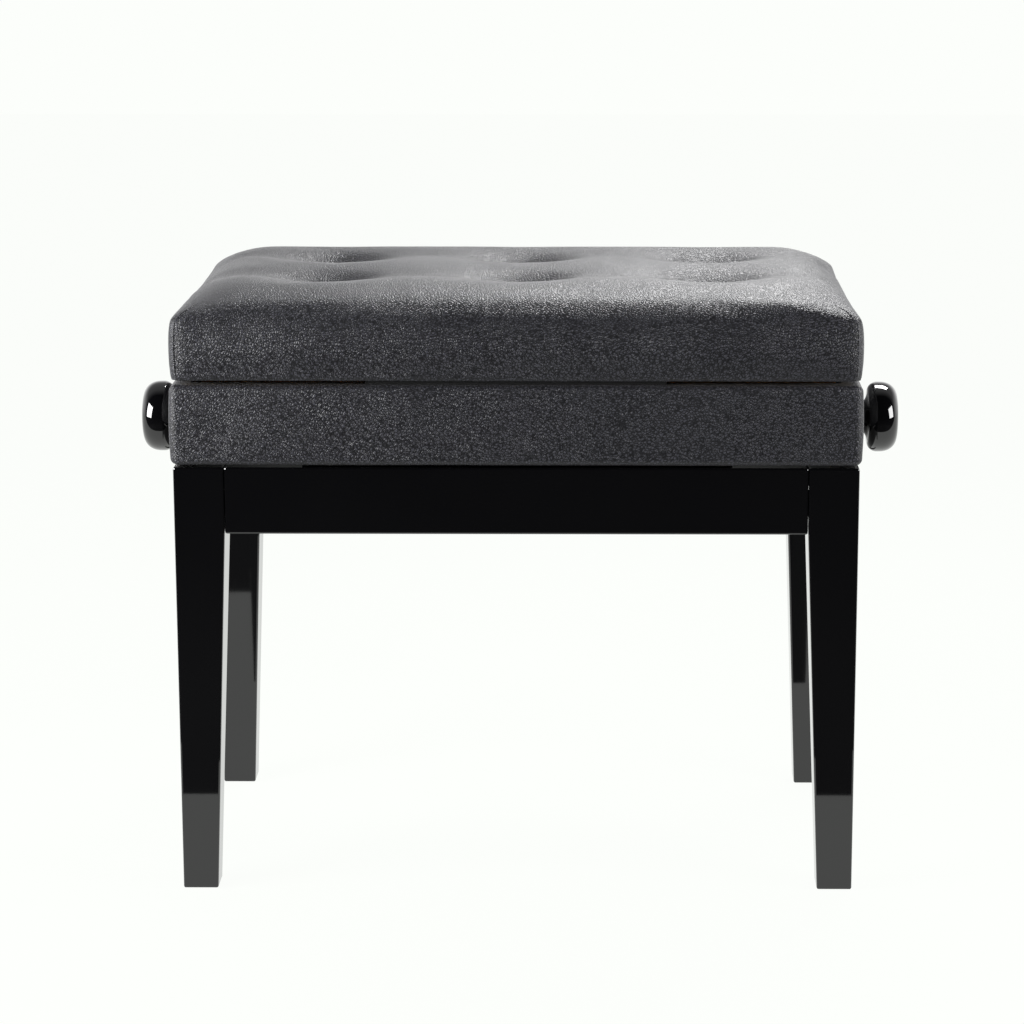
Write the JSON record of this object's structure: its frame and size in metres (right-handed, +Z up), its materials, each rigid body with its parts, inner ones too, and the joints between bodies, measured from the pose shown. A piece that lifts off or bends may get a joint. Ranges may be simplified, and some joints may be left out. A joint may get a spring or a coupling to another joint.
{
  "type": "piano bench",
  "caption": "Height-adjustable piano bench: tufted leather lid hinged over a padded storage box, side knobs, screw-driven scissor lift, tapered black legs.",
  "frame": {"origin": "on the floor, under the middle of the bench", "axes": "+X along the bench's width to the right knob, -Y to the front edge, +Z up"},
  "size_m": [0.64, 0.334, 0.4973],
  "materials": {
    "black_lacquer": "polished black polyester lacquer",
    "knob_lacquer": "turned, polished black lacquer",
    "black_nylon": "moulded",
    "zinc_steel": "bright zinc plate",
    "black_steel": "black powder coat",
    "hinge_brass": "rolled",
    "grey_leather": "pebbled grain, satin",
    "black_felt": "pressed felt",
    "birch_plywood": "sanded, clear sealed"
  },
  "bodies": {
    "leg_frame": {"leg_front_left": "black_lacquer", "leg_front_right": "black_lacquer", "leg_rear_left": "black_lacquer", "leg_rear_right": "black_lacquer", "foot_glide_front_left": "black_nylon", "foot_glide_front_right": "black_nylon", "foot_glide_rear_left": "black_nylon", "foot_glide_rear_right": "black_nylon", "corner_bracket_front_left": "zinc_steel", "corner_bracket_front_right": "zinc_steel", "corner_bracket_rear_left": "zinc_steel", "corner_bracket_rear_right": "zinc_steel", "leg_bolt_front_left": "zinc_steel", "leg_bolt_front_right": "zinc_steel", "leg_bolt_rear_left": "zinc_steel", "leg_bolt_rear_right": "zinc_steel", "apron_front": "black_lacquer", "apron_rear": "black_lacquer", "apron_left": "black_lacquer", "apron_right": "black_lacquer", "lower_rail_front": "black_steel", "lower_rail_rear": "black_steel"},
    "seat_box": {"box_wall_front": "birch_plywood", "box_wall_rear": "birch_plywood", "box_wall_left": "birch_plywood", "box_wall_right": "birch_plywood", "storage_floor": "birch_plywood", "box_cover": "grey_leather", "upper_rail_front": "black_steel", "upper_rail_rear": "black_steel", "screw_bush_left": "black_nylon", "screw_bush_right": "black_nylon", "hinge_leaf_box": "hinge_brass", "hinge_pin": "zinc_steel", "lid_bumper": "black_felt"},
    "drive": {"drive_screw": "zinc_steel", "knob_left": "knob_lacquer", "knob_right": "knob_lacquer"},
    "nut_left": {"nut_bar_left": "zinc_steel"},
    "nut_right": {"nut_bar_right": "zinc_steel"},
    "scissor_centre": {"centre_axle": "zinc_steel"},
    "scissor_a": {"scissor_arm_a_front": "black_steel", "scissor_arm_a_rear": "black_steel", "lower_axle_a": "zinc_steel", "roller_a_front": "black_nylon", "roller_a_rear": "black_nylon"},
    "scissor_b": {"scissor_arm_b_front": "black_steel", "scissor_arm_b_rear": "black_steel", "lower_axle_b": "zinc_steel", "roller_b_front": "black_nylon", "roller_b_rear": "black_nylon"},
    "lid": {"lid_board": "birch_plywood", "seat_cushion": "grey_leather", "hinge_leaf_lid": "hinge_brass", "tuft_button_front_left": "grey_leather", "tuft_button_front_middle": "grey_leather", "tuft_button_front_right": "grey_leather", "tuft_button_rear_left": "grey_leather", "tuft_button_rear_middle": "grey_leather", "tuft_button_rear_right": "grey_leather"}
  },
  "joints": [
    {"name": "seat_lift", "type": "slide", "parent": "leg_frame", "child": "seat_box", "axis": [0, 0, 1], "range_m": [0, 0.08454]},
    {"name": "knob_turn", "type": "hinge", "parent": "seat_box", "child": "drive", "pos_m": [0, 0, 0.367], "axis": [1, 0, 0], "range_deg": [0, 2880.58]},
    {"name": "centre_lift", "type": "slide", "parent": "leg_frame", "child": "scissor_centre", "axis": [0, 0, 1], "range_m": [0, 0.04228]},
    {"name": "arm_a_swing", "type": "hinge", "parent": "scissor_centre", "child": "scissor_a", "pos_m": [0, 0, 0.3415], "axis": [0, -1, 0], "range_deg": [0, 17.08]},
    {"name": "arm_b_swing", "type": "hinge", "parent": "scissor_centre", "child": "scissor_b", "pos_m": [0, 0, 0.3415], "axis": [0, 1, 0], "range_deg": [0, 17.08]},
    {"name": "nut_left_travel", "type": "slide", "parent": "seat_box", "child": "nut_left", "axis": [1, 0, 0], "range_m": [0, 0.014]},
    {"name": "nut_right_travel", "type": "slide", "parent": "seat_box", "child": "nut_right", "axis": [-1, 0, 0], "range_m": [0, 0.014]},
    {"name": "lid_hinge", "type": "hinge", "parent": "seat_box", "child": "lid", "pos_m": [0, 0.1648, 0.4233], "axis": [-1, 0, 0], "range_deg": [0, 90]}
  ],
  "couplings": [
    {"joint": "knob_turn", "follows": "seat_lift", "rad_per_m": 594.54},
    {"joint": "centre_lift", "follows": "seat_lift", "ratio": 0.5},
    {"joint": "arm_a_swing", "follows": "seat_lift", "rad_per_m": 3.5244},
    {"joint": "arm_b_swing", "follows": "seat_lift", "rad_per_m": 3.5244},
    {"joint": "nut_left_travel", "follows": "seat_lift", "ratio": 0.16559},
    {"joint": "nut_right_travel", "follows": "seat_lift", "ratio": 0.16559}
  ]
}
